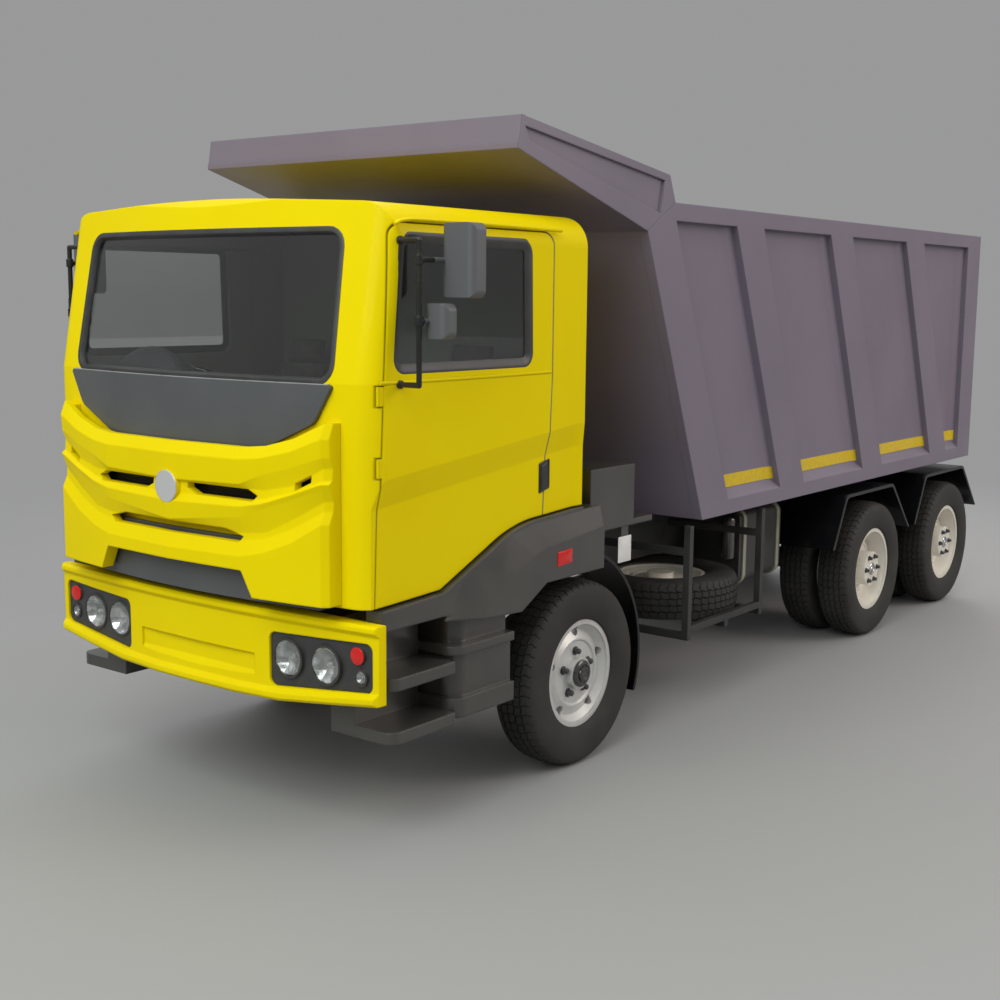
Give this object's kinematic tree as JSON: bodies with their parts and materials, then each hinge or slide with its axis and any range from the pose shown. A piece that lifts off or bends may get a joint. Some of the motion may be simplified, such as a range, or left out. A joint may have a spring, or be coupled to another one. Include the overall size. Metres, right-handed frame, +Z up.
{
  "type": "tipping dump truck",
  "caption": "Three-axle dump truck: forward-control cab with doors, tipping bed with ribbed sides and a canopy over the cab, tailgate, hoist, twin drive wheels.",
  "frame": {"origin": "on the ground, under the middle of the truck's length and width", "axes": "+Z up, -Y towards the front of the truck, +X towards its left side"},
  "size_m": [2.982, 8.232, 3.543],
  "materials": {
    "cab_yellow": "gloss",
    "bed_mauve": "satin",
    "chassis_black": "satin",
    "axle_black": "satin",
    "engine_grey": "matt",
    "gloss_black": "gloss",
    "dark_plastic": "matt",
    "lamp_dark": "gloss",
    "lamp_red": "gloss",
    "tank_dark": "satin",
    "strap_olive": "satin",
    "tyre": "matt",
    "rim_silver": "gloss",
    "rim_cream": "gloss",
    "glass": "gloss",
    "mirror_dark": "satin",
    "seat_fabric": "matt",
    "dash_plastic": "matt",
    "wheel_plastic": "satin",
    "rod_chrome": "polished"
  },
  "bodies": {
    "chassis": {"frame_rails": "chassis_black", "subframe_rails": "chassis_black", "crossmembers": "chassis_black", "engine_block": "engine_grey", "axles": "axle_black", "leaf_springs": "chassis_black", "propshafts": "axle_black", "cab_shell": "cab_yellow", "windscreen": "glass", "front_panel": "cab_yellow", "windscreen_band": "dark_plastic", "bumper": "cab_yellow", "headlamps": "lamp_dark", "steps": "dark_plastic", "arch_trims": "dark_plastic", "mudguards": "gloss_black", "side_boxes": "dark_plastic", "underrun_guards": "chassis_black", "tanks": "tank_dark", "tank_straps": "strap_olive", "spare_tyre": "tyre", "spare_rim": "rim_cream", "frame_brackets": "chassis_black", "tail_lamps": "lamp_red", "pivot_shafts": "axle_black", "seats": "seat_fabric", "dashboard": "dash_plastic"},
    "bed": {"bed_floor": "bed_mauve", "bed_sides": "bed_mauve", "bed_front": "bed_mauve"},
    "tailgate": {"tailgate": "bed_mauve"},
    "hoist_barrel": {"hoist_barrel": "axle_black"},
    "hoist_rod": {"hoist_rod": "rod_chrome"},
    "steering_wheel": {"steering_wheel": "wheel_plastic"},
    "knuckle_left": {"knuckle_left": "axle_black"},
    "front_wheel_left": {"front_tyre_left": "tyre", "front_rim_left": "rim_silver"},
    "drive_wheel_1_left": {"drive_tyres_1_left": "tyre", "drive_rims_1_left": "rim_cream"},
    "drive_wheel_2_left": {"drive_tyres_2_left": "tyre", "drive_rims_2_left": "rim_cream"},
    "door_left": {"door_left": "cab_yellow", "door_glass_left": "glass", "mirror_left": "mirror_dark"},
    "knuckle_right": {"knuckle_right": "axle_black"},
    "front_wheel_right": {"front_tyre_right": "tyre", "front_rim_right": "rim_silver"},
    "drive_wheel_1_right": {"drive_tyres_1_right": "tyre", "drive_rims_1_right": "rim_cream"},
    "drive_wheel_2_right": {"drive_tyres_2_right": "tyre", "drive_rims_2_right": "rim_cream"},
    "door_right": {"door_right": "cab_yellow", "door_glass_right": "glass", "mirror_right": "mirror_dark"}
  },
  "joints": [
    {"name": "bed_tip", "type": "hinge", "parent": "chassis", "child": "bed", "pos_m": [0, 3.856, 1.15], "axis": [-1, 0, 0], "range_deg": [0, 50]},
    {"name": "tailgate_swing", "type": "hinge", "parent": "bed", "child": "tailgate", "pos_m": [0, 3.962, 3.14], "axis": [1, 0, 0], "range_deg": [0, 60]},
    {"name": "hoist_lift", "type": "hinge", "parent": "chassis", "child": "hoist_barrel", "pos_m": [0, 2.956, 1.034], "axis": [-1, 0, 0], "range_deg": [0, 72]},
    {"name": "hoist_extend", "type": "slide", "parent": "hoist_barrel", "child": "hoist_rod", "axis": [0, -0.9965, 0.0837], "range_m": [0, 0.495]},
    {"name": "steer_left", "type": "hinge", "parent": "chassis", "child": "knuckle_left", "pos_m": [0.87, -2.144, 0.53], "axis": [0, 0, 1], "range_deg": [-35, 35]},
    {"name": "front_wheel_left_roll", "type": "hinge", "parent": "knuckle_left", "child": "front_wheel_left", "pos_m": [1.051, -2.144, 0.53], "axis": [1, 0, 0], "continuous": true},
    {"name": "drive_wheel_1_left_roll", "type": "hinge", "parent": "chassis", "child": "drive_wheel_1_left", "pos_m": [1.086, 1.87, 0.53], "axis": [1, 0, 0], "continuous": true},
    {"name": "drive_wheel_2_left_roll", "type": "hinge", "parent": "chassis", "child": "drive_wheel_2_left", "pos_m": [1.086, 3.456, 0.53], "axis": [1, 0, 0], "continuous": true},
    {"name": "door_left_swing", "type": "hinge", "parent": "chassis", "child": "door_left", "pos_m": [1.176, -3.846, 1.7], "axis": [0, 0, -1], "range_deg": [0, 70]},
    {"name": "steer_right", "type": "hinge", "parent": "chassis", "child": "knuckle_right", "pos_m": [-0.87, -2.144, 0.53], "axis": [0, 0, 1], "range_deg": [-35, 35]},
    {"name": "front_wheel_right_roll", "type": "hinge", "parent": "knuckle_right", "child": "front_wheel_right", "pos_m": [-1.051, -2.144, 0.53], "axis": [1, 0, 0], "continuous": true},
    {"name": "drive_wheel_1_right_roll", "type": "hinge", "parent": "chassis", "child": "drive_wheel_1_right", "pos_m": [-1.086, 1.87, 0.53], "axis": [1, 0, 0], "continuous": true},
    {"name": "drive_wheel_2_right_roll", "type": "hinge", "parent": "chassis", "child": "drive_wheel_2_right", "pos_m": [-1.086, 3.456, 0.53], "axis": [1, 0, 0], "continuous": true},
    {"name": "door_right_swing", "type": "hinge", "parent": "chassis", "child": "door_right", "pos_m": [-1.176, -3.846, 1.7], "axis": [0, 0, 1], "range_deg": [0, 70]},
    {"name": "steering_wheel_turn", "type": "hinge", "parent": "chassis", "child": "steering_wheel", "pos_m": [-0.56, -3.324, 2.13], "axis": [0, 0.5, 0.866], "range_deg": [-630, 630]}
  ],
  "couplings": [
    {"joint": "hoist_lift", "follows": "bed_tip", "ratio": 1.4123},
    {"joint": "hoist_extend", "follows": "bed_tip", "m_per_rad": 0.5556},
    {"joint": "steer_right", "follows": "steer_left", "ratio": 1},
    {"joint": "steering_wheel_turn", "follows": "steer_left", "ratio": 18}
  ]
}
